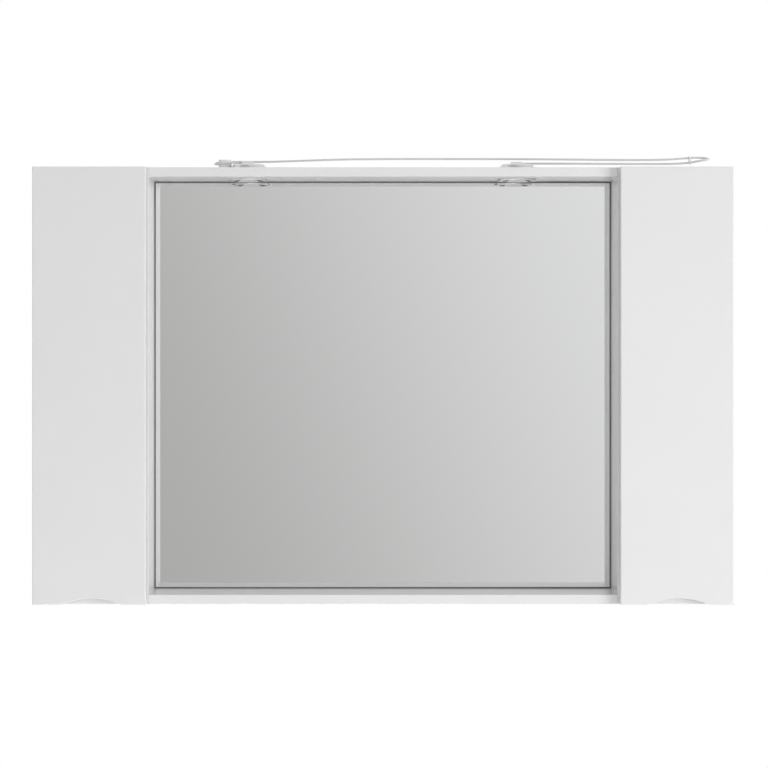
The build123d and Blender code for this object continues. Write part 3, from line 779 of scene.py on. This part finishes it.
class CABINET_OT_screws(bpy.types.Operator):
    """Adds the cross-headed screws of the hinges, terminals, hangers and wall plates"""

    bl_idname = "cabinet.screws"
    bl_label = "Screws"

    def execute(self, context):
        sizes = context.scene.cabinet_sizes
        colours = context.scene.cabinet_colours
        nickel = plated("screw_nickel", colours.nickel, 0.22, 0.32)
        brass = plated("screw_brass", colours.brass, 0.25, 0.4)
        zinc = plated("screw_zinc", colours.zinc, 0.3, 0.45)
        for side, sign in SIDES.items():
            self.plate_screws(side, sign, sizes, nickel)
            self.wing_screws(side, sizes, nickel)
            self.terminal_screws(side, sizes, brass)
            self.wall_screws(side, sizes, zinc)
            self.dial_screws(side, sizes, zinc)
        return {"FINISHED"}

    def plate_screws(self, side, sign, sizes, material):
        """Two screws above and below the middle of each mounting plate."""
        low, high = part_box("hinge_plates_" + side)
        inner = low.x if sign > 0 else high.x
        middle = (low.y + high.y) / 2
        places = [
            Vector((inner, middle, z + way * sizes.plate_pitch))
            for z in hinge_levels(sizes)
            for way in (-0.5, 0.5)
        ]
        turn = Matrix.Rotation(-sign * math.pi / 2, 4, "Y")
        head = screw_head(sizes.wood_screw, height=0.0018, material=material)
        copies(head, places, turn, "cabinet", "plate_screw_" + side)

    def wing_screws(self, side, sizes, material):
        """Two screws in the wings of each cup."""
        low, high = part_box("hinge_cups_" + side)
        middle = (low.x + high.x) / 2
        places = [
            Vector((middle, high.y, z + way * sizes.wing_pitch))
            for z in hinge_levels(sizes)
            for way in (-0.5, 0.5)
        ]
        turn = Matrix.Rotation(-math.pi / 2, 4, "X")
        head = screw_head(sizes.wing_screw, height=0.0009, material=material)
        copies(head, places, turn, "door_" + side, "wing_screw_" + side)

    def terminal_screws(self, side, sizes, material):
        """A screw down in each well of the terminal block."""
        low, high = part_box("terminal_" + side)
        middle = (low + high) / 2
        reach = (high.y - low.y) / 4
        places = [Vector((middle.x, middle.y + way * reach, middle.z)) for way in (-1, 1)]
        head = screw_head(sizes.terminal_screw, height=0.0009, material=material)
        copies(head, places, Matrix.Identity(4), "cabinet", "terminal_screw_" + side)

    def wall_screws(self, side, sizes, material):
        """The two screws that hold a wall plate."""
        low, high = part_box("wall_plate_" + side)
        middle = (low.x + high.x) / 2
        height = low.z + sizes.wall_rise
        places = [
            Vector((middle + way * sizes.wall_pitch, -sizes.plate_sheet, height))
            for way in (-0.5, 0.5)
        ]
        turn = Matrix.Rotation(math.pi / 2, 4, "X")
        head = screw_head(sizes.wall_screw, height=0.0012, material=material)
        copies(head, places, turn, "cabinet", "wall_screw_" + side)

    def dial_screws(self, side, sizes, material):
        """The two setting screws in the wells of a hanger's housing."""
        low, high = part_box("hanger_" + side)
        middle, tall = (low.x + high.x) / 2, high.z - low.z
        well_depth, shares = 0.6, (0.35, 0.72)
        ground = low.y + well_depth * (high.y - low.y)
        places = [Vector((middle, ground, high.z - share * tall)) for share in shares]
        turn = Matrix.Rotation(math.pi / 2, 4, "X")
        head = screw_head(sizes.dial_screw, height=0.0025, material=material)
        copies(head, places, turn, "cabinet", "dial_screw_" + side)


class CABINET_OT_caps(bpy.types.Operator):
    """Adds the round cover caps over the fittings that join the boards"""

    bl_idname = "cabinet.caps"
    bl_label = "Cover caps"

    def execute(self, context):
        sizes = context.scene.cabinet_sizes
        cap_plastic = moulded("cap_plastic", context.scene.cabinet_colours.plastic, 600.0, 0.35, 0.45)
        for side in SIDES:
            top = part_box("top_board_" + side)
            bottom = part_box("bottom_board_" + side)
            for name, height, turn in (("upper", top[0].z, math.pi), ("lower", bottom[1].z, 0.0)):
                places = [
                    Vector((x, y, height))
                    for x in (top[0].x + sizes.cap_inset, top[1].x - sizes.cap_inset)
                    for y in (top[0].y + sizes.cap_front, top[1].y - sizes.cap_back)
                ]
                cap = self.cap(sizes, cap_plastic)
                copies(cap, places, Matrix.Rotation(turn, 4, "X"), "cabinet", f"{name}_cap_{side}")
        return {"FINISHED"}

    def cap(self, sizes, material):
        """A low disc with a rounded rim and a shallow dish."""
        deselect()
        radius, height = sizes.cap_radius, sizes.cap_height
        bpy.ops.mesh.primitive_cylinder_add(
            vertices=40, radius=radius, depth=height, location=(0, 0, height / 2)
        )
        cap = bpy.context.active_object
        bpy.ops.object.mode_set(mode="EDIT")
        bpy.ops.mesh.select_mode(type="FACE")
        bpy.ops.mesh.select_all(action="DESELECT")
        bpy.ops.object.mode_set(mode="OBJECT")
        for face in cap.data.polygons:
            face.select = face.normal.z > 0.9
        bpy.ops.object.mode_set(mode="EDIT")
        bpy.ops.mesh.inset(thickness=radius * 0.25, depth=-height * 0.4)
        bpy.ops.object.mode_set(mode="OBJECT")
        rim = cap.modifiers.new("rim", "BEVEL")
        rim.width = height * 0.35
        rim.segments = 2
        rim.limit_method = "ANGLE"
        bpy.ops.object.modifier_apply(modifier=rim.name)
        cap.data.materials.append(material)
        return cap


class CABINET_OT_post(bpy.types.Operator):
    """Adds the moulded post on the top panel that the lead turns round"""

    bl_idname = "cabinet.post"
    bl_label = "Lead post"

    # Corners of the post's foot on the top panel
    low = (-0.2865, -0.0795)
    high = (-0.2640, -0.0590)

    def execute(self, context):
        sizes = context.scene.cabinet_sizes
        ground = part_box("niche_top")[1].z
        middle = [(a + b) / 2 for a, b in zip(self.low, self.high)]
        span = [b - a for a, b in zip(self.low, self.high)]
        deselect()
        bpy.ops.mesh.primitive_cube_add(size=1.0, location=(*middle, ground + sizes.post_height / 2))
        post = bpy.context.active_object
        post.name = "lead_post"
        post.scale = (*span, sizes.post_height)
        bpy.ops.object.transform_apply(location=True, rotation=True, scale=True)
        bpy.ops.object.mode_set(mode="EDIT")
        bpy.ops.mesh.select_mode(type="EDGE")
        bpy.ops.mesh.select_all(action="DESELECT")
        bpy.ops.object.mode_set(mode="OBJECT")
        points = post.data.vertices
        for edge in post.data.edges:
            first, last = (points[i].co for i in edge.vertices)
            edge.select = abs(first.z - last.z) > sizes.post_height / 2
        bpy.ops.object.mode_set(mode="EDIT")
        bpy.ops.mesh.bevel(offset=sizes.post_corner, segments=8)
        bpy.ops.mesh.select_all(action="DESELECT")
        bpy.ops.mesh.select_mode(type="FACE")
        bpy.ops.object.mode_set(mode="OBJECT")
        for face in post.data.polygons:
            face.select = face.normal.z > 0.9
        bpy.ops.object.mode_set(mode="EDIT")
        bpy.ops.mesh.inset(thickness=sizes.post_rim, depth=-0.75 * sizes.post_rim)
        bpy.ops.object.mode_set(mode="OBJECT")
        rim = post.modifiers.new("rim", "BEVEL")
        rim.width = 0.375 * sizes.post_rim
        rim.segments = 2
        rim.limit_method = "ANGLE"
        bpy.ops.object.modifier_apply(modifier=rim.name)
        post.data.materials.append(
            moulded("post_plastic", context.scene.cabinet_colours.post, 700.0, 0.4, 0.5)
        )
        settle(post, "cabinet")
        return {"FINISHED"}


class CABINET_PT_panel(bpy.types.Panel):
    """Lists the steps that dress the cabinet"""

    bl_idname = "CABINET_PT_panel"
    bl_label = "Mirror cabinet"
    bl_space_type = "VIEW_3D"
    bl_region_type = "UI"
    bl_category = "Cabinet"

    def draw(self, context):
        layout = self.layout
        for step in STEPS:
            layout.operator(step.bl_idname)
        for group in ("cabinet_colours", "cabinet_sizes", "cabinet_studio"):
            box = layout.box()
            values = getattr(context.scene, group)
            for name in values.__annotations__:
                box.prop(values, name)


STEPS = (
    CABINET_OT_stage,
    CABINET_OT_lead,
    CABINET_OT_finishes,
    CABINET_OT_screws,
    CABINET_OT_caps,
    CABINET_OT_post,
)
GROUPS = (CabinetColours, CabinetSizes, CabinetStudio)


def register():
    for made in (*GROUPS, *STEPS, CABINET_PT_panel):
        bpy.utils.register_class(made)
    bpy.types.Scene.cabinet_colours = PointerProperty(type=CabinetColours)
    bpy.types.Scene.cabinet_sizes = PointerProperty(type=CabinetSizes)
    bpy.types.Scene.cabinet_studio = PointerProperty(type=CabinetStudio)


def unregister():
    del bpy.types.Scene.cabinet_colours
    del bpy.types.Scene.cabinet_sizes
    del bpy.types.Scene.cabinet_studio
    for made in reversed((*GROUPS, *STEPS, CABINET_PT_panel)):
        bpy.utils.unregister_class(made)


def main():
    """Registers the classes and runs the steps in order."""
    register()
    bpy.ops.cabinet.stage()
    bpy.ops.cabinet.lead()
    bpy.ops.cabinet.finishes()
    bpy.ops.cabinet.screws()
    bpy.ops.cabinet.caps()
    bpy.ops.cabinet.post()


if __name__ == "__main__":
    main()
